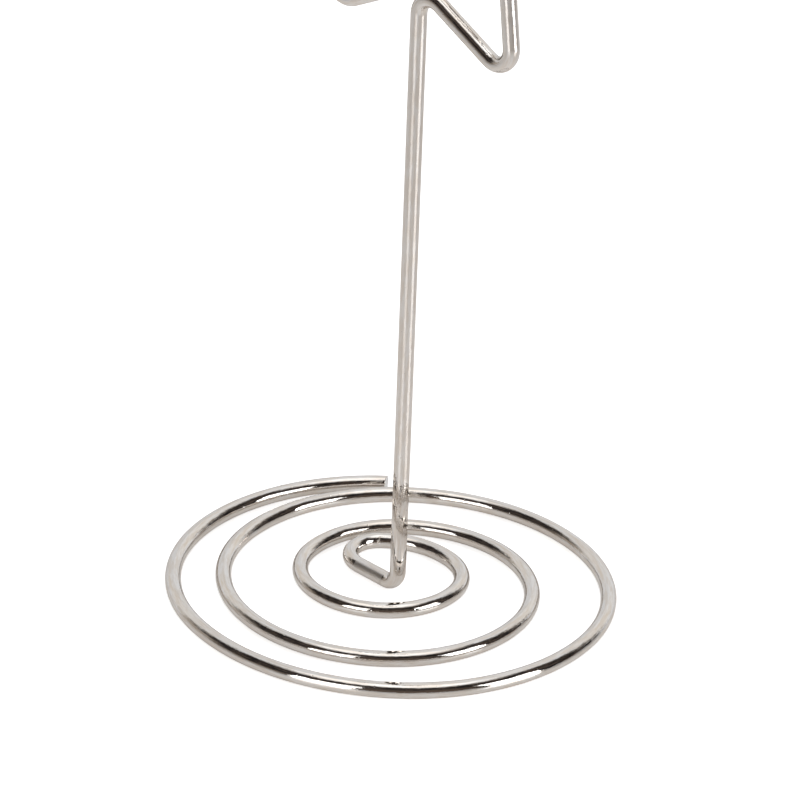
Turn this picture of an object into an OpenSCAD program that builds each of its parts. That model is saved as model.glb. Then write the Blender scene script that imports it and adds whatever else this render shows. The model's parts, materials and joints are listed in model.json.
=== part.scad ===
// Place card holder bent from one length of round wire.
// A flat spiral coil stands on the table, a spoke runs from the coil's centre to a straight stem,
// and the stem bends into a star clip that winds round twice: a large front star and a smaller
// back star nested in it, one wire thickness and a card's gap behind.
// The wire is modelled in sections, named as a wire bender would name them.
// The origin is on the table under the stem. The front of the star faces -Y.

/* [Wire] */
// Diameter of the round wire
wire_d = 1.5; // [1.2:0.1:1.6]

/* [Base coil] */
// Mean bend radius of the inner turn
inner_turn_r = 7.7; // [6.8:0.1:9]
// Mean clear gap between the inner and middle turns
middle_gap = 5.1; // [4.4:0.1:6]
// Mean clear gap between the middle and outer turns
outer_gap = 3.6; // [3:0.1:5]
// Bend radius of the hook at the coil's centre
hook_r = 2.9; // [2.5:0.1:3.2]
// How far the hook turns the wire, in degrees
hook_turn = 134; // [128:1:138]
// Distance from the hook to the stem's axis
spoke_l = 5.2; // [4.7:0.1:5.8]
// Direction from the stem to the hook, in degrees from +X
spoke_angle = 180; // [0:1:359]

/* [Stem] */
// Height of the corner where the stem meets the star, above the table
stem_h = 61.1; // [45:0.1:90]
// Bend radius at the foot of the stem
foot_bend_r = 1.5; // [1.2:0.1:2.5]
// Bend radius at the top of the stem
neck_bend_r = 1.8; // [1.2:0.1:2]

/* [Star clip] */
// Radius of the front star's points, before their corners are rounded
star_r = 20.2; // [18:0.1:23]
// Radius of the front star's inner corners
notch_r = 10.5; // [9.5:0.1:11.5]
// Bend radius of the star's corners
corner_r = 1.8; // [1.2:0.1:2]
// Distance between the front star's wire and the back star's wire, seen from the front
star_spacing = 3.1; // [2.7:0.05:3.2]
// Room for the card between the two stars
card_gap = 0.35; // [0.3:0.05:0.6]

/* [Hidden] */
$fn = 48;

// Bending swells the wire by this much, and its neighbour ends this far inside the swollen bend
swell = 0.01;
lap = 0.05;
// A leg of the star keeps at least this much straight wire between its bends
shortest_straight = 0.1;
// A turn of the coil is bent in six parts. Bend radius of each, from the hook outwards,
// as a share of the turn's mean
inner_shares = [1.02, 0.75, 0.97, 1.04, 0.95, 1.28];
middle_shares = [0.85, 0.85, 0.96, 1.07, 1.08, 1.19];
outer_shares = [1, 0.91, 1.01, 1.12, 0.96, 1.02];

points = 5;
corner_angle = 180 / points;
star_corners = 2 * points;
// The back star lies this far behind the front one. The wire steps back to it along the last point
// of the front star, and has made this share of the step at that point's tip.
turn_pitch = wire_d + card_gap;
last_tip_share = 0.2;
wire_z = (wire_d + swell) / 2;
wire_color = [0.76, 0.74, 0.71];

// Half the angle between the two legs at a point, and at an inner corner
tip_half = atan2(notch_r * sin(corner_angle), star_r - notch_r * cos(corner_angle));
notch_half = atan2(star_r * sin(corner_angle), star_r * cos(corner_angle) - notch_r);
back_star_r = star_r - star_spacing / sin(tip_half);
back_notch_r = notch_r - star_spacing / sin(notch_half);

function unit(v) = v / norm(v);

// Coil: arcs that wind outwards, each tangent to the one before
middle_turn_r = inner_turn_r + wire_d + middle_gap;
outer_turn_r = middle_turn_r + wire_d + outer_gap;
arc_r = concat(inner_turn_r * inner_shares, middle_turn_r * middle_shares, outer_turn_r * outer_shares);
turn_arcs = len(inner_shares);
arc_angle = 360 / turn_arcs;
function inward(i) = [-sin(arc_angle * i), -cos(arc_angle * i)];
function arc_centre(i) =
    i == 0 ? arc_r[0] * inward(0)
    : arc_centre(i - 1) + (arc_r[i] - arc_r[i - 1]) * inward(i);

// Places along the spoke and the hook, seen from above
coil_angle = spoke_angle - hook_turn;
hook_start = spoke_l * [cos(spoke_angle), sin(spoke_angle)];
hook_centre = hook_start + hook_r * [sin(spoke_angle), -cos(spoke_angle)];
coil_start = hook_centre - hook_r * [sin(coil_angle), -cos(coil_angle)];

// Corners of the bent wire, from the spoke to the cut end behind the star
spoke_end = [hook_start[0], hook_start[1], wire_z];
foot = [0, 0, wire_z];
neck = [0, 0, stem_h];
star_centre = neck + [0, 0, notch_r];

// Corner i of a star, set back by y
function star_corner(r, i, y) =
    let (a = corner_angle * i - 90)
    star_centre + [r * cos(a), y, r * sin(a)];
function front_corner(i, y) = star_corner(i % 2 == 0 ? notch_r : star_r, i, y);
function back_corner(i) = star_corner(i % 2 == 0 ? back_notch_r : back_star_r, i, turn_pitch);

// The last leg of the front star runs on behind the neck until it meets the back star's first leg
last_leg = unit(front_corner(star_corners, 0) - front_corner(star_corners - 1, 0));
crossing = front_corner(star_corners, turn_pitch) + last_leg * star_spacing / sin(2 * notch_half);
star_path = [
    for (i = [0 : star_corners - 2]) front_corner(i, 0),
    front_corner(star_corners - 1, turn_pitch * last_tip_share),
    crossing,
    for (i = [star_corners + 1 : 2 * star_corners]) back_corner(i)
];

// Puts its children in the frame with axes x, y and z and origin o
module framed(x, y, z, o)
    multmatrix([
        [x[0], y[0], z[0], o[0]],
        [x[1], y[1], z[1], o[1]],
        [x[2], y[2], z[2], o[2]]
    ]) children();

// Half the angle at corner b, and how far from it a bend of radius r starts
function half_angle(a, b, c) = acos(unit(a - b) * unit(c - b)) / 2;
function bend_run(a, b, c, r) = r / tan(half_angle(a, b, c));

// Straight piece of wire from p to q
module straight(p, q) {
    along = unit(q - p);
    side = unit(cross(abs(along[2]) < 0.9 ? [0, 0, 1] : [1, 0, 0], along));
    framed(side, cross(along, side), along, p) cylinder(h = norm(q - p), d = wire_d);
}

// Bend of radius r and thickness d that rounds the corner b between a and c
module bend(a, b, c, r, d = wire_d) {
    to_a = unit(a - b);
    to_c = unit(c - b);
    half = half_angle(a, b, c);
    centre = b + unit(to_a + to_c) * r / sin(half);
    x = unit(b + to_a * bend_run(a, b, c, r) - centre);
    z = unit(cross(to_c, to_a));
    framed(x, cross(z, x), z, centre)
        rotate_extrude(angle = 180 - 2 * half) translate([r, 0]) circle(d = d);
}

// Arc i of the coil, which laps into its neighbours by these angles
module coil_arc(i, lap_before, lap_after, d)
    translate([arc_centre(i)[0], arc_centre(i)[1], 0])
        rotate([0, 0, 90 - arc_angle * (i + 1) - lap_after])
            rotate_extrude(angle = arc_angle + lap_before + lap_after) translate([arc_r[i], 0]) circle(d = d);

// Turn n of the coil, counted from the hook. Every second arc laps into the swollen ones beside it.
module coil_turn(n)
    color(wire_color) translate([coil_start[0], coil_start[1], wire_z]) rotate([0, 0, coil_angle])
        for (k = [0 : 2 : turn_arcs - 1]) {
            i = n * turn_arcs + k;
            lap_angle = lap / arc_r[i] * 180 / PI;
            coil_arc(i, k == 0 ? 0 : lap_angle, lap_angle, wire_d);
            coil_arc(i + 1, 0, 0, wire_d + swell);
        }

module centre_hook()
    color(wire_color) translate([hook_centre[0], hook_centre[1], wire_z])
        rotate([0, 0, 90 + coil_angle]) rotate_extrude(angle = hook_turn)
            translate([hook_r, 0]) circle(d = wire_d);

module spoke()
    color(wire_color)
        straight(spoke_end, foot + unit(spoke_end - foot) * bend_run(spoke_end, foot, neck, foot_bend_r));

module foot_bend()
    color(wire_color) bend(spoke_end, foot, neck, foot_bend_r);

module stem()
    color(wire_color) straight(
        foot + [0, 0, bend_run(spoke_end, foot, neck, foot_bend_r)],
        neck - [0, 0, bend_run(foot, neck, star_path[1], neck_bend_r)]
    );

module neck_bend()
    color(wire_color) bend(foot, neck, star_path[1], neck_bend_r);

// Half the angle at corner i of the star, where corner 0 is the neck
function star_half(i) = half_angle(i == 0 ? foot : star_path[i - 1], star_path[i], star_path[i + 1]);

// Run of the bend at inner corner i, which is nothing at the cut end
function notch_run(i) = i == len(star_path) - 1 ? 0 : (i == 0 ? neck_bend_r : corner_r) / tan(star_half(i));

// Longest run that the legs beside point i leave for its bend
function tip_room(i) =
    min([for (j = [i - 1, i + 1]) norm(star_path[j] - star_path[i]) - notch_run(j)]) - shortest_straight;

// Run and radius of the bend at any corner of the star
function corner_run(i) = i % 2 == 0 ? notch_run(i) : min(corner_r / tan(star_half(i)), tip_room(i));
function corner_bend_r(i) = corner_run(i) * tan(star_half(i));

// Leg from corner i to the next, which laps into the bends that belong to the same point
module star_leg(i, lap_start, lap_end) {
    along = unit(star_path[i + 1] - star_path[i]);
    straight(
        star_path[i] + along * (corner_run(i) - lap_start),
        star_path[i + 1] - along * (corner_run(i + 1) - lap_end)
    );
}

module star_bend(i) bend(star_path[i - 1], star_path[i], star_path[i + 1], corner_bend_r(i), wire_d + swell);

// One point of a star: the inner corner before it, a leg out, its tip and a leg back
module star_point(n)
    color(wire_color) {
        tip = 2 * n + 1;
        if (n > 0) star_bend(tip - 1);
        star_leg(tip - 1, n > 0 ? lap : 0, lap);
        star_bend(tip);
        star_leg(tip, lap, 0);
    }

coil_turn(2);  // outer_turn
coil_turn(1);  // middle_turn
coil_turn(0);  // inner_turn
centre_hook();
spoke();
foot_bend();
stem();
neck_bend();
star_point(0);  // front_point_lower_right
star_point(1);  // front_point_upper_right
star_point(2);  // front_point_top
star_point(3);  // front_point_upper_left
star_point(4);  // front_point_lower_left
star_point(5);  // back_point_lower_right
star_point(6);  // back_point_upper_right
star_point(7);  // back_point_top
star_point(8);  // back_point_upper_left
star_point(9);  // back_point_lower_left
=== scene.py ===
"""The looks of a place card holder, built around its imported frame.

The holder is one bent wire. Its path is worked out here from the same sizes as the solids, in metres,
and every section of it becomes a smooth tube that takes the place of that section's plain solid.
"""

import json
import math

import bpy
from mathutils import Matrix, Vector

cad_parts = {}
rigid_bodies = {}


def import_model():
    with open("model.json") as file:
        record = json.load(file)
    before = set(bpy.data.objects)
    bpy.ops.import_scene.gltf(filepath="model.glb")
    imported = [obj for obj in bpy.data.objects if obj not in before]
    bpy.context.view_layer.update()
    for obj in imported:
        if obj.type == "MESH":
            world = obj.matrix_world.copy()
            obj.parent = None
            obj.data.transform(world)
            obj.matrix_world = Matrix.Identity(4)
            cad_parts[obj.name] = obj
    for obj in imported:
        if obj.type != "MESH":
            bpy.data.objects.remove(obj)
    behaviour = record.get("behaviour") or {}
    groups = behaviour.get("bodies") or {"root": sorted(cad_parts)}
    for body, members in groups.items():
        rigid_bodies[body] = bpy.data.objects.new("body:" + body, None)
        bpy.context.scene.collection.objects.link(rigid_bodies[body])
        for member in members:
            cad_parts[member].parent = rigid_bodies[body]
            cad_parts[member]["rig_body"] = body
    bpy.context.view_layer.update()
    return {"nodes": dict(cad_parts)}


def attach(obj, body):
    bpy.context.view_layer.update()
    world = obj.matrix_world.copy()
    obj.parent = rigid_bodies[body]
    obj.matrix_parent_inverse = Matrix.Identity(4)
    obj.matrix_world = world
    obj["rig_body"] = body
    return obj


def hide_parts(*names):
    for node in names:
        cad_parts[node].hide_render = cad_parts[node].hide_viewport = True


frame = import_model()

MM = 0.001
Z_AXIS = Vector((0, 0, 1))

# Wire. A tight bend flattens it by a share of its thickness
WIRE_D = 1.5 * MM
WIRE_Z = 0.755 * MM
BEND_FLATTENING = 0.035

# Cut ends: the radius of the rim, how far the face bulges, how steeply it slants in a bend, and how much
# of the wire the slant needs
CUT_RIM_R = 0.06 * MM
CUT_DOME = 0.03 * MM
CUT_SLANT = math.tan(math.radians(14))
SLANT_ROOM = 0.5 * MM

# Base coil, whose turns are bent in six parts each. Its cut end runs a little past its solid
INNER_TURN_R = 7.7 * MM
MIDDLE_TURN_R = 14.3 * MM
OUTER_TURN_R = 19.4 * MM
INNER_SHARES = [1.02, 0.75, 0.97, 1.04, 0.95, 1.28]
MIDDLE_SHARES = [0.85, 0.85, 0.96, 1.07, 1.08, 1.19]
OUTER_SHARES = [1, 0.91, 1.01, 1.12, 0.96, 1.02]
TURN_ARCS = 6
ARC_ANGLE = math.tau / TURN_ARCS
CUT_MORE = math.radians(0.8)
HOOK_R = 2.9 * MM
HOOK_TURN = math.radians(134)
SPOKE_L = 5.2 * MM
SPOKE_ANGLE = math.radians(180)

# Stem
STEM_H = 61.1 * MM
FOOT_BEND_R = 1.5 * MM
NECK_BEND_R = 1.8 * MM

# Star clip
POINTS = 5
POINT_NAMES = ("lower_right", "upper_right", "top", "upper_left", "lower_left")
STAR_R = 20.2 * MM
NOTCH_R = 10.5 * MM
CORNER_R = 1.8 * MM
STAR_SPACING = 3.1 * MM
TURN_PITCH = 1.85 * MM
LAST_TIP_SHARE = 0.2

# Sections that the bending tool has dulled, and how much
WORN = {"spoke": 1.0}

# Mesh
SIDES = 48
SAG = 0.002 * MM
LONGEST_STEP = 1.5 * MM
CUT_RIM_STEPS = 6
CUT_FACE_RINGS = 10


class Station:
    """A place on the wire's centreline, the way it heads there, and how the wire is shaped there."""

    def __init__(self, place, heading, inward=None, flattening=0.0):
        self.place = place
        self.heading = heading
        self.inward = inward
        self.flattening = flattening

        # Set once the whole wire is known: a direction across it, and how far along it this is
        self.across = None
        self.distance = 0.0

        # Set round the rim of a cut end: the way its face looks, how it slants, how far the surface
        # has drawn in and turned towards the face, and whether it has reached the bare face
        self.face = None
        self.slant = None
        self.inset = 0.0
        self.tilt = 0.0
        self.bare = 0.0


def straight(start, end):
    """Stations along a straight run."""
    run = end - start
    heading = run.normalized()
    steps = math.ceil(run.length / LONGEST_STEP)
    return [Station(start + run * k / steps, heading) for k in range(steps + 1)]


def arc(centre, start, axis, angle, flattening=0.0):
    """Stations round an arc from start. A tight bend flattens the wire most in its middle."""
    spoke = start - centre
    step = 2 * math.acos(1 - SAG / spoke.length)
    steps = math.ceil(angle / step)
    stations = []
    for k in range(steps + 1):
        turned = Matrix.Rotation(angle * k / steps, 3, axis) @ spoke
        stations.append(Station(
            centre + turned,
            axis.cross(turned).normalized(),
            -turned.normalized(),
            flattening * math.sin(math.pi * k / steps) ** 2,
        ))
    return stations


def half_angle(before, corner, after):
    return (before - corner).angle(after - corner) / 2


def bend_run(before, corner, after, radius):
    """How far from the corner a bend of this radius starts."""
    return radius / math.tan(half_angle(before, corner, after))


def bend(before, corner, after, radius):
    """Stations of the bend that rounds a corner."""
    to_before = (before - corner).normalized()
    to_after = (after - corner).normalized()
    half = half_angle(before, corner, after)
    centre = corner + (to_before + to_after).normalized() * radius / math.sin(half)
    start = corner + to_before * bend_run(before, corner, after, radius)
    return arc(centre, start, to_after.cross(to_before).normalized(), math.pi - 2 * half, BEND_FLATTENING)


def on_table(angle, distance, height=0.0):
    return Vector((distance * math.cos(angle), distance * math.sin(angle), height))


def coil_sections(coil_start, coil_angle):
    """The three turns of the base, from the cut end inwards, as (name, stations)."""
    radii = (
        [INNER_TURN_R * share for share in INNER_SHARES]
        + [MIDDLE_TURN_R * share for share in MIDDLE_SHARES]
        + [OUTER_TURN_R * share for share in OUTER_SHARES]
    )
    turn = Matrix.Rotation(coil_angle, 3, "Z")
    centres = []
    centre = -on_table(math.pi / 2, radii[0])
    for i, radius in enumerate(radii):
        if i > 0:
            centre = centre - on_table(math.pi / 2 - ARC_ANGLE * i, radius - radii[i - 1])
        centres.append(centre)
    sections = []
    for n, name in ((2, "outer_turn"), (1, "middle_turn"), (0, "inner_turn")):
        stations = []
        for i in reversed(range(n * TURN_ARCS, (n + 1) * TURN_ARCS)):
            more = CUT_MORE if i == len(radii) - 1 else 0.0
            arc_start = centres[i] + on_table(math.pi / 2 - ARC_ANGLE * (i + 1) - more, radii[i])
            middle = coil_start + turn @ centres[i]
            stations += arc(middle, coil_start + turn @ arc_start, Z_AXIS, ARC_ANGLE + more)
        sections.append((name, stations))
    return sections


def star_path(neck):
    """Corners of both windings of the star, from the neck to the cut end."""
    corner_angle = math.pi / POINTS
    corners = 2 * POINTS
    tip_half = math.atan2(NOTCH_R * math.sin(corner_angle), STAR_R - NOTCH_R * math.cos(corner_angle))
    notch_half = math.atan2(STAR_R * math.sin(corner_angle), STAR_R * math.cos(corner_angle) - NOTCH_R)
    back_star_r = STAR_R - STAR_SPACING / math.sin(tip_half)
    back_notch_r = NOTCH_R - STAR_SPACING / math.sin(notch_half)
    set_back = Vector((0, TURN_PITCH, 0))

    def star_corner(notch_r, star_r, i):
        a = corner_angle * i - math.pi / 2
        r = notch_r if i % 2 == 0 else star_r
        return neck + Vector((r * math.cos(a), 0, NOTCH_R + r * math.sin(a)))

    front = [star_corner(NOTCH_R, STAR_R, i) for i in range(corners)]
    last_leg = (neck - front[-1]).normalized()
    front[-1] = front[-1] + set_back * LAST_TIP_SHARE
    crossing = neck + last_leg * STAR_SPACING / math.sin(2 * notch_half) + set_back
    later = range(corners + 1, 2 * corners + 1)
    back = [star_corner(back_notch_r, back_star_r, i) + set_back for i in later]
    return front + [crossing] + back


def wire_sections():
    """The whole wire from the base's cut end to the star's, as (name, stations)."""
    coil_angle = SPOKE_ANGLE - HOOK_TURN
    hook_start = on_table(SPOKE_ANGLE, SPOKE_L, WIRE_Z)
    hook_centre = hook_start - on_table(SPOKE_ANGLE + math.pi / 2, HOOK_R)
    coil_start = hook_centre + on_table(coil_angle + math.pi / 2, HOOK_R)
    foot = Vector((0, 0, WIRE_Z))
    neck = Vector((0, 0, STEM_H))
    path = star_path(neck)

    sections = coil_sections(coil_start, coil_angle)
    sections.append(("centre_hook", arc(hook_centre, coil_start, Z_AXIS, HOOK_TURN)))
    foot_run = bend_run(hook_start, foot, neck, FOOT_BEND_R)
    neck_run = bend_run(foot, neck, path[1], NECK_BEND_R)
    sections.append(("spoke", straight(hook_start, foot + (hook_start - foot).normalized() * foot_run)))
    sections.append(("foot_bend", bend(hook_start, foot, neck, FOOT_BEND_R)))
    sections.append(("stem", straight(foot + Z_AXIS * foot_run, neck - Z_AXIS * neck_run)))
    sections.append(("neck_bend", bend(foot, neck, path[1], NECK_BEND_R)))

    def run(i):
        """Room that the bend at corner i of the star takes from its legs."""
        if i == len(path) - 1:
            return 0
        return neck_run if i == 0 else bend_run(path[i - 1], path[i], path[i + 1], CORNER_R)

    def leg(i):
        along = (path[i + 1] - path[i]).normalized()
        return straight(path[i] + along * run(i), path[i + 1] - along * run(i + 1))

    for n in range(2 * POINTS):
        tip = 2 * n + 1
        stations = bend(path[tip - 2], path[tip - 1], path[tip], CORNER_R) if n > 0 else []
        stations += leg(tip - 1)
        stations += bend(path[tip - 1], path[tip], path[tip + 1], CORNER_R)
        stations += leg(tip)
        winding = "front" if n < POINTS else "back"
        sections.append((f"{winding}_point_{POINT_NAMES[n % POINTS]}", stations))
    return sections


def follow_wire(sections):
    """Gives each station its distance along the wire, and a direction across it that never twists."""
    across = Z_AXIS
    distance = 0.0
    last = None
    for _, stations in sections:
        for s in stations:
            if last is not None:
                across = last.heading.rotation_difference(s.heading) @ across
                distance += (s.place - last.place).length
            across = (across - s.heading * across.dot(s.heading)).normalized()
            s.across = across.copy()
            s.distance = distance
            last = s


def add_cut_end(stations, outwards):
    """Rounds the rim of a cut end: the last stations shrink towards the cut face. outwards is 1 or -1.

    A cut in a bend slants, so that the wire is shorter on the inside of the bend.
    """
    end = stations[-1 if outwards > 0 else 0]
    out = end.heading * outwards
    slant = end.inward * CUT_SLANT if end.inward else Vector((0, 0, 0))
    rim = []
    for k in range(CUT_RIM_STEPS + 1):
        turn = math.pi / 2 * k / CUT_RIM_STEPS
        short = CUT_RIM_R * (1 - math.sin(turn))
        s = Station(end.place - out * short, end.heading)
        s.across = end.across
        s.distance = end.distance - outwards * short
        s.face = (out + slant).normalized()
        s.slant = slant
        s.inset = CUT_RIM_R * (1 - math.cos(turn))
        s.tilt = turn
        s.bare = float(k == CUT_RIM_STEPS)
        rim.append(s)
    kept = [s for s in stations if (s.place - end.place).length > SLANT_ROOM]
    return kept + rim if outwards > 0 else rim[::-1] + kept


class Skin:
    """The surface of a section in the making. A corner of a face is a point's number and a normal."""

    def __init__(self):
        self.places = []
        self.unbent = []
        self.bare = []
        self.faces = []
        self.normals = []

    def add_point(self, place, unbent, bare):
        """Adds a point and returns its number. unbent is its place if the wire were straight."""
        self.places.append(place)
        self.unbent.append(unbent)
        self.bare.append(bare)
        return len(self.places) - 1

    def add_face(self, corners, flip=False):
        if flip:
            corners = corners[::-1]
        self.faces.append([point for point, _ in corners])
        self.normals += [normal for _, normal in corners]

    def add_band(self, ring, next_ring, flip=False):
        """Adds the faces between two rings of corners."""
        for k in range(SIDES):
            n = (k + 1) % SIDES
            self.add_face((ring[k], ring[n], next_ring[n], next_ring[k]), flip)

    def add_ring(self, s):
        """Adds the points round a station and returns them as corners."""
        beside = s.heading.cross(s.across)
        corners = []
        for k in range(SIDES):
            angle = math.tau * k / SIDES
            out = s.across * math.cos(angle) + beside * math.sin(angle)
            place = out * (WIRE_D / 2 - s.inset)
            normal = out
            if s.inward is not None:
                place = place - s.inward * place.dot(s.inward) * s.flattening
                normal = normal + s.inward * normal.dot(s.inward) * s.flattening
            if s.face is not None:
                place = place - s.face * place.dot(s.slant)
                normal = normal.normalized() * math.cos(s.tilt) + s.face * math.sin(s.tilt)
            unbent = (WIRE_D / 2 * math.cos(angle), WIRE_D / 2 * math.sin(angle), s.distance)
            corners.append((self.add_point(s.place + place, unbent, s.bare), normal.normalized()))
        return corners

    def add_end(self, s, edge, is_first):
        """Closes an end of the tube, flat inside the wire and slightly domed where the wire is cut."""
        if s.face is not None:
            out = s.face
            dome = CUT_DOME
            rings = CUT_FACE_RINGS
        else:
            out = -s.heading if is_first else s.heading
            dome = 0.0
            rings = 1
        points = [point for point, _ in edge]
        offsets = [self.places[point] - s.place for point in points]
        steepness = 2 * dome / offsets[0].length_squared

        def corner(point, offset):
            return point, (out + offset * steepness).normalized()

        ring = [corner(point, offset) for point, offset in zip(points, offsets)]
        for j in range(1, rings):
            share = 1 - j / rings
            lift = out * dome * (1 - share * share)
            next_ring = []
            for point, offset in zip(points, offsets):
                x, y, z = self.unbent[point]
                unbent = (x * share, y * share, z)
                new_point = self.add_point(s.place + offset * share + lift, unbent, s.bare)
                next_ring.append(corner(new_point, offset * share))
            self.add_band(ring, next_ring, is_first)
            ring = next_ring
        centre = self.add_point(s.place + out * dome, (0, 0, s.distance), s.bare)
        for k in range(SIDES):
            self.add_face((ring[k], ring[(k + 1) % SIDES], (centre, out)), is_first)

    def to_object(self, name, worn):
        mesh = bpy.data.meshes.new(name)
        mesh.from_pydata(self.places, [], self.faces)
        mesh.update()
        mesh.polygons.foreach_set("use_smooth", [True] * len(self.faces))
        mesh.normals_split_custom_set(self.normals)
        unbent = mesh.attributes.new("unbent", "FLOAT_VECTOR", "POINT")
        unbent.data.foreach_set("vector", [x for place in self.unbent for x in place])
        mesh.attributes.new("worn", "FLOAT", "POINT").data.foreach_set("value", [worn] * len(self.places))
        mesh.attributes.new("bare", "FLOAT", "POINT").data.foreach_set("value", self.bare)
        obj = bpy.data.objects.new(name, mesh)
        bpy.context.scene.collection.objects.link(obj)
        return obj


def tube(name, stations, cut_start, cut_end, worn):
    """A closed tube through the stations. Its exact normals join it to its neighbours without a seam."""
    kept = [stations[0]]
    for s in stations[1:]:
        if (s.place - kept[-1].place).length > SAG:
            kept.append(s)
    if cut_start:
        kept = add_cut_end(kept, -1)
    if cut_end:
        kept = add_cut_end(kept, 1)

    skin = Skin()
    rings = [skin.add_ring(s) for s in kept]
    for ring, next_ring in zip(rings, rings[1:]):
        skin.add_band(ring, next_ring)
    skin.add_end(kept[0], rings[0], True)
    skin.add_end(kept[-1], rings[-1], False)
    return skin.to_object(name, worn)


class Nodes:
    """Short ways to add nodes to a node tree."""

    def __init__(self, tree):
        self.tree = tree
        tree.nodes.clear()

    def add(self, kind, inputs=None, **settings):
        node = self.tree.nodes.new(kind)
        for name, value in settings.items():
            setattr(node, name, value)
        for name, value in (inputs or {}).items():
            self.put(value, node.inputs[name])
        return node

    def put(self, value, socket):
        """Links value to the socket, or sets it there if it is a constant."""
        if isinstance(value, bpy.types.NodeSocket):
            self.tree.links.new(value, socket)
        else:
            socket.default_value = value

    def math(self, operation, *values):
        return self.add("ShaderNodeMath", dict(enumerate(values)), operation=operation).outputs[0]

    def ramp(self, value, low, high, to_low=0.0, to_high=1.0):
        """value from low to high becomes to_low to to_high, smoothly, and stays there outside."""
        inputs = {"Value": value, "From Min": low, "From Max": high, "To Min": to_low, "To Max": to_high}
        return self.add("ShaderNodeMapRange", inputs, interpolation_type="SMOOTHSTEP").outputs["Result"]

    def window(self, value, low, high, edge):
        """1 where value lies between low and high, falling to 0 over edge on both sides."""
        rise = self.ramp(value, low - edge, low + edge)
        fall = self.ramp(value, high - edge, high + edge, 1.0, 0.0)
        return self.math("MULTIPLY", rise, fall)

    def slanted(self, value, other, pivot, slope):
        """value plus slope for each degree that other lies past the pivot."""
        past = self.math("SUBTRACT", other, pivot)
        return self.math("MULTIPLY_ADD", past, slope, value)

    def noise(self, place, scale, detail, roughness):
        inputs = {"Vector": place, "Scale": scale, "Detail": detail, "Roughness": roughness}
        return self.add("ShaderNodeTexNoise", inputs).outputs["Fac"]

    def mix(self, factor, a, b):
        node = self.add("ShaderNodeMix", data_type="RGBA")
        self.put(factor, node.inputs[0])
        self.put(a, node.inputs[6])
        self.put(b, node.inputs[7])
        return node.outputs[2]


# Nickel plate, stained warm in places, and the steel at the cuts
COOL_NICKEL = (0.735, 0.715, 0.696, 1)
WARM_NICKEL = (0.675, 0.624, 0.572, 1)
BARE_STEEL = (0.86, 0.87, 0.88, 1)
NICKEL_EDGE = (0.82, 0.82, 0.82, 1)

# Grain of the plate: its fineness along the wire as a share of that across it, then across the wire its
# scale, detail and roughness
LINES = (0.012, 9000, 3, 0.6)
RIPPLE = (0.3, 3200, 3, 0.55)
STAIN = (0.14, 3600, 4, 0.65)
PIT_SCALE = 1500

# How deep the grain is
LINE_DEPTH = 0.003 * MM
RIPPLE_DEPTH = 0.013 * MM
PIT_DEPTH = 0.008 * MM
PIT_WALL = (0.02, 0.16)

# What the grain makes of the colour and the roughness
STAIN_COLOUR = (0.36, 0.64)
LINE_ROUGHNESS = (0.35, 0.75, 0.02, 0.05)
STAIN_ROUGHNESS = (0.5, 0.8, 0.0, 0.05)
WORN_ROUGHNESS = 0.34
BARE_ROUGHNESS = 0.3


def plated_wire():
    """Polished nickel plate on drawn wire: fine lines along it, faint ripples, stains and a few pits."""
    material = bpy.data.materials.new("polished_nickel_plate")
    material.use_nodes = True
    n = Nodes(material.node_tree)
    unbent = n.add("ShaderNodeAttribute", attribute_name="unbent").outputs["Vector"]
    worn = n.add("ShaderNodeAttribute", attribute_name="worn").outputs["Fac"]
    bare = n.add("ShaderNodeAttribute", attribute_name="bare").outputs["Fac"]

    def grain(along, scale, detail, roughness):
        drawn_out = n.add("ShaderNodeMapping", {"Vector": unbent, "Scale": (1, 1, along)}).outputs["Vector"]
        return n.noise(drawn_out, scale, detail, roughness)

    lines = grain(*LINES)
    ripple = grain(*RIPPLE)
    stain = grain(*STAIN)
    pit = n.add("ShaderNodeTexVoronoi", {"Vector": unbent, "Scale": PIT_SCALE, "Randomness": 1.0})
    colour = n.mix(n.ramp(stain, *STAIN_COLOUR), COOL_NICKEL, WARM_NICKEL)
    colour = n.mix(bare, colour, BARE_STEEL)
    roughness = n.math("ADD", n.ramp(lines, *LINE_ROUGHNESS), n.ramp(stain, *STAIN_ROUGHNESS))
    roughness = n.math("MULTIPLY_ADD", worn, WORN_ROUGHNESS, roughness)
    roughness = n.math("MULTIPLY_ADD", bare, BARE_ROUGHNESS, roughness)

    shader = n.add("ShaderNodeBsdfPrincipled", {
        "Base Color": colour, "Metallic": 1.0, "Roughness": roughness, "Specular Tint": NICKEL_EDGE,
    })
    bumpy = shader.inputs["Normal"]
    depths = (
        (n.ramp(pit.outputs["Distance"], *PIT_WALL), PIT_DEPTH),
        (ripple, RIPPLE_DEPTH),
        (lines, LINE_DEPTH),
    )
    for height, depth in depths:
        bump = n.add("ShaderNodeBump", {"Strength": 1.0, "Distance": depth, "Height": height})
        n.put(bump.outputs["Normal"], bumpy)
        bumpy = bump.inputs["Normal"]
    n.add("ShaderNodeOutputMaterial", {"Surface": shader.outputs["BSDF"]})
    return material


# Camera, from the photograph: a long lens, low on the left of the star's front
LENS = 207
SENSOR = 36
CLIP_START = 10 * MM
CAMERA_AZIMUTH = math.radians(45)
CAMERA_ELEVATION = math.radians(27)
CAMERA_ROLL = math.radians(2.14)
CAMERA_DISTANCE = 429.1 * MM
FOOT_PIXEL = (397.3, 585.5)
PICTURE_SIDE = 800


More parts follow.
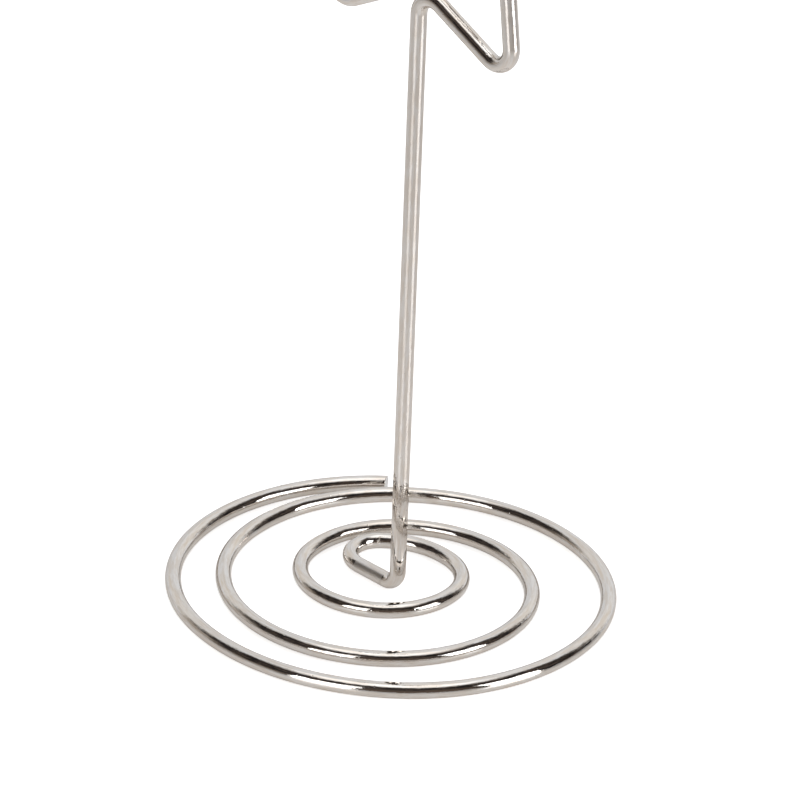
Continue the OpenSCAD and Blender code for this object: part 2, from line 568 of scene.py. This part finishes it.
def place_camera():
    """Puts the camera where the foot of the stem falls on its pixel of the picture."""
    data = bpy.data.cameras.new("camera")
    data.lens = LENS
    data.sensor_width = SENSOR
    data.clip_start = CLIP_START
    camera = bpy.data.objects.new("camera", data)
    bpy.context.scene.collection.objects.link(camera)
    bpy.context.scene.camera = camera

    right = Vector((math.cos(CAMERA_AZIMUTH), math.sin(CAMERA_AZIMUTH), 0))
    away = Vector((-math.sin(CAMERA_AZIMUTH), math.cos(CAMERA_AZIMUTH), 0))
    forward = away * math.cos(CAMERA_ELEVATION) - Z_AXIS * math.sin(CAMERA_ELEVATION)
    up = away * math.sin(CAMERA_ELEVATION) + Z_AXIS * math.cos(CAMERA_ELEVATION)
    x_axis = right * math.cos(CAMERA_ROLL) + up * math.sin(CAMERA_ROLL)
    y_axis = up * math.cos(CAMERA_ROLL) - right * math.sin(CAMERA_ROLL)
    focal_pixels = LENS / SENSOR * PICTURE_SIDE
    x = (FOOT_PIXEL[0] - PICTURE_SIDE / 2) / focal_pixels * CAMERA_DISTANCE
    y = (PICTURE_SIDE / 2 - FOOT_PIXEL[1]) / focal_pixels * CAMERA_DISTANCE
    foot = Vector((0, 0, WIRE_D / 2))
    place = foot - x_axis * x - y_axis * y - forward * CAMERA_DISTANCE
    camera.matrix_world = Matrix((x_axis, y_axis, -forward)).transposed().to_4x4()
    camera.matrix_world.translation = place


# Studio. Its angles are in degrees: azimuth from the camera to the right, and elevation. An edge is where
# a thing starts to show and where it shows in full, then how strongly if that isn't from 0 to 1.
# SIDES and HEIGHTS are a window: its two ends and how soft they are. A LEAN or SLOPE is the angle at
# which it adds nothing, and what it adds for each degree past that.
WHITE = (1, 1, 1, 1)

# Dark room, with brown clutter. The clutter is noise with this scale, detail and roughness
DARK_ROOM = (0.01, 0.01, 0.012, 1)
BROWN_ROOM = (0.1, 0.078, 0.066, 1)
CLUTTER = (9, 3, 0.65)
CLUTTER_COLOUR = (0.4, 0.64)

# Walls that fade upwards
FRONT_WALL = (0.13, 0.1, 0.08, 1)
FRONT_WALL_SIDES = (-26, 36, 12)
FRONT_WALL_TOP = (44, 2)
LEFT_WALL = (0.44, 0.39, 0.34, 1)
FAR_WALL_SIDES = (-124, -92, 9)
FAR_WALL_TOP = (30, 6)
NEAR_WALL_SIDES = (-124, -52, 7)
NEAR_WALL_TOP = (19, -5, 0, 0.8)

# White backdrop, whose sides noise makes ragged. It is warmer low down, away from straight behind the
# holder: WARM_AWAY is how much of the direction points away from the camera
BACKDROP = (0.92, 0.925, 0.935, 1)
WARM_BACKDROP = (0.94, 0.91, 0.87, 1)
BACKDROP_LEFT = (-108, -126, 0, 0.9)
BACKDROP_RIGHT = (108, 131)
RAGGED = (26, 2, 0.6)
RAGGED_WIDTH = 70
WARM_HEIGHTS = (14, 42, 8)
WARM_AWAY = (0.9, 0.75)

# Two soft boxes that lean, each with a lamp behind a scrim and a sloping top
SCRIM = (1.36, 1.36, 1.36, 1)
LEFT_LAMP = (3.3, 3.3, 3.3, 1)
RIGHT_LAMP = (5.6, 5.6, 5.6, 1)
LAMP_TOP = (35, 25)
LEFT_BOX_SIDES = (-49, -20.2, 1)
LEFT_BOX_LEAN = (0, -0.08)
LEFT_BOX_TOP = (44, 27)
LEFT_BOX_SLOPE = (-30, -0.4)
RIGHT_BOX_LEFT = (45.3, 48.3)
RIGHT_BOX_RIGHT = (76.1, 73.1)
RIGHT_BOX_LEAN = (8, 0.2)
RIGHT_BOX_TOP = (40, 26)
RIGHT_BOX_SLOPE = (60, -0.35)

# Ceiling panel, whose edge is this much higher straight in front and straight behind
CEILING = (1.5, 1.48, 1.46, 1)
CEILING_EDGE = (54.5, 77)
CEILING_BOW = 7


def light_studio():
    """A dark room with walls, soft boxes, a ceiling panel and a white backdrop, seen in the wire only."""
    world = bpy.data.worlds.new("studio")
    bpy.context.scene.world = world
    world.use_nodes = True
    n = Nodes(world.node_tree)
    direction = n.add("ShaderNodeTexCoord").outputs["Generated"]
    turned = n.add("ShaderNodeVectorRotate", {
        "Vector": direction, "Angle": -CAMERA_AZIMUTH,
    }, rotation_type="Z_AXIS").outputs["Vector"]
    parts = n.add("ShaderNodeSeparateXYZ", {"Vector": turned}).outputs
    to_camera = n.math("MULTIPLY", parts["Y"], -1.0)
    azimuth = n.math("DEGREES", n.math("ARCTAN2", parts["X"], to_camera))
    elevation = n.math("DEGREES", n.math("ARCSINE", parts["Z"]))

    clutter = n.ramp(n.noise(direction, *CLUTTER), *CLUTTER_COLOUR)
    light = n.mix(clutter, DARK_ROOM, BROWN_ROOM)

    def wall(sides, top):
        return n.math("MULTIPLY", n.window(azimuth, *sides), n.ramp(elevation, *top))

    light = n.mix(wall(FRONT_WALL_SIDES, FRONT_WALL_TOP), light, FRONT_WALL)
    left_wall = n.math("MAXIMUM", wall(FAR_WALL_SIDES, FAR_WALL_TOP), wall(NEAR_WALL_SIDES, NEAR_WALL_TOP))
    light = n.mix(left_wall, light, LEFT_WALL)

    ragged = n.slanted(azimuth, n.noise(direction, *RAGGED), 0.5, RAGGED_WIDTH)
    backdrop = n.math("MAXIMUM", n.ramp(ragged, *BACKDROP_LEFT), n.ramp(ragged, *BACKDROP_RIGHT))
    warmth = n.math("MULTIPLY", n.window(elevation, *WARM_HEIGHTS), n.ramp(parts["Y"], *WARM_AWAY))
    light = n.mix(backdrop, light, n.mix(warmth, BACKDROP, WARM_BACKDROP))

    left_box = n.window(n.slanted(azimuth, elevation, *LEFT_BOX_LEAN), *LEFT_BOX_SIDES)
    left_top = n.ramp(n.slanted(elevation, azimuth, *LEFT_BOX_SLOPE), *LEFT_BOX_TOP)
    left_scrim = n.math("MULTIPLY", left_box, left_top)
    right_box = n.math(
        "MULTIPLY",
        n.ramp(n.slanted(azimuth, elevation, *RIGHT_BOX_LEAN), *RIGHT_BOX_LEFT),
        n.ramp(azimuth, *RIGHT_BOX_RIGHT),
    )
    right_top = n.ramp(n.slanted(elevation, azimuth, *RIGHT_BOX_SLOPE), *RIGHT_BOX_TOP)
    right_scrim = n.math("MULTIPLY", right_box, right_top)
    light = n.mix(n.math("MAXIMUM", left_scrim, right_scrim), light, SCRIM)
    lamp_top = n.ramp(elevation, *LAMP_TOP)
    light = n.mix(n.math("MULTIPLY", left_box, lamp_top), light, LEFT_LAMP)
    light = n.mix(n.math("MULTIPLY", right_box, lamp_top), light, RIGHT_LAMP)

    bow = n.math("MULTIPLY", n.math("ABSOLUTE", to_camera), CEILING_BOW)
    light = n.mix(n.ramp(n.math("SUBTRACT", elevation, bow), *CEILING_EDGE), light, CEILING)

    seen = n.add("ShaderNodeLightPath").outputs["Is Camera Ray"]
    background = n.add("ShaderNodeBackground", {"Color": n.mix(seen, light, WHITE), "Strength": 1.0})
    n.add("ShaderNodeOutputWorld", {"Surface": background.outputs["Background"]})


# Table top. The camera sees GLOW_SEEN of white besides its own shade, and the wire sees GLOW_NEAR by the
# stem, falling to GLOW_FAR at GLOW_REACH
FLOOR_SIDE = 8.0
FLOOR_COLOUR = (0.83, 0.83, 0.83, 1)
FLOOR_ROUGHNESS = 0.18
FLOOR_IOR = 1.5
GLOW_TINT = (1, 0.93, 0.87, 1)
GLOW_SEEN = 0.72
GLOW_NEAR = 0.3
GLOW_FAR = 0.18
GLOW_REACH = 120 * MM


def lay_floor():
    """A pale, slightly glossy table top. The camera sees it as white, with the holder's faint shadow.

    The wire mirrors it darker further off and at a flat angle, as a sheet lit from nearby looks.
    """
    mesh = bpy.data.meshes.new("floor")
    half = FLOOR_SIDE / 2
    corners = [(-half, -half, 0), (half, -half, 0), (half, half, 0), (-half, half, 0)]
    mesh.from_pydata(corners, [], [(0, 1, 2, 3)])
    floor = bpy.data.objects.new("floor", mesh)
    bpy.context.scene.collection.objects.link(floor)
    material = bpy.data.materials.new("pale_table_top")
    material.use_nodes = True
    n = Nodes(material.node_tree)
    rays = n.add("ShaderNodeLightPath").outputs
    seen = rays["Is Camera Ray"]
    facing = n.math("SUBTRACT", 1.0, n.add("ShaderNodeFresnel", {"IOR": FLOOR_IOR}).outputs["Fac"])
    facing = n.math("MULTIPLY", facing, facing)
    place = n.add("ShaderNodeNewGeometry").outputs["Position"]
    distance = n.add("ShaderNodeVectorMath", {0: place}, operation="LENGTH").outputs["Value"]
    glow = n.math("MULTIPLY", n.ramp(distance, 0.0, GLOW_REACH, GLOW_NEAR, GLOW_FAR), facing)
    reflected = n.math("MULTIPLY", rays["Is Glossy Ray"], glow)
    strength = n.math("MULTIPLY_ADD", seen, GLOW_SEEN, reflected)
    surface = n.add("ShaderNodeBsdfPrincipled", {
        "Base Color": FLOOR_COLOUR, "Roughness": FLOOR_ROUGHNESS, "IOR": FLOOR_IOR,
    })
    light = n.add("ShaderNodeEmission", {"Color": n.mix(seen, GLOW_TINT, WHITE), "Strength": strength})
    both = n.add("ShaderNodeAddShader", {0: surface.outputs["BSDF"], 1: light.outputs["Emission"]})
    n.add("ShaderNodeOutputMaterial", {"Surface": both.outputs["Shader"]})
    mesh.materials.append(material)


def build_wire():
    """Every section of the wire, each in place of its node and on its node's body."""
    sections = wire_sections()
    follow_wire(sections)
    material = plated_wire()
    for i, (name, stations) in enumerate(sections):
        is_last = i == len(sections) - 1
        piece = tube("wire_" + name, stations, i == 0, is_last, WORN.get(name, 0.0))
        piece.data.materials.append(material)
        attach(piece, frame["nodes"][name]["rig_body"])
        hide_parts(name)


place_camera()
light_studio()
lay_floor()
build_wire()
bpy.context.scene.view_settings.view_transform = "Standard"
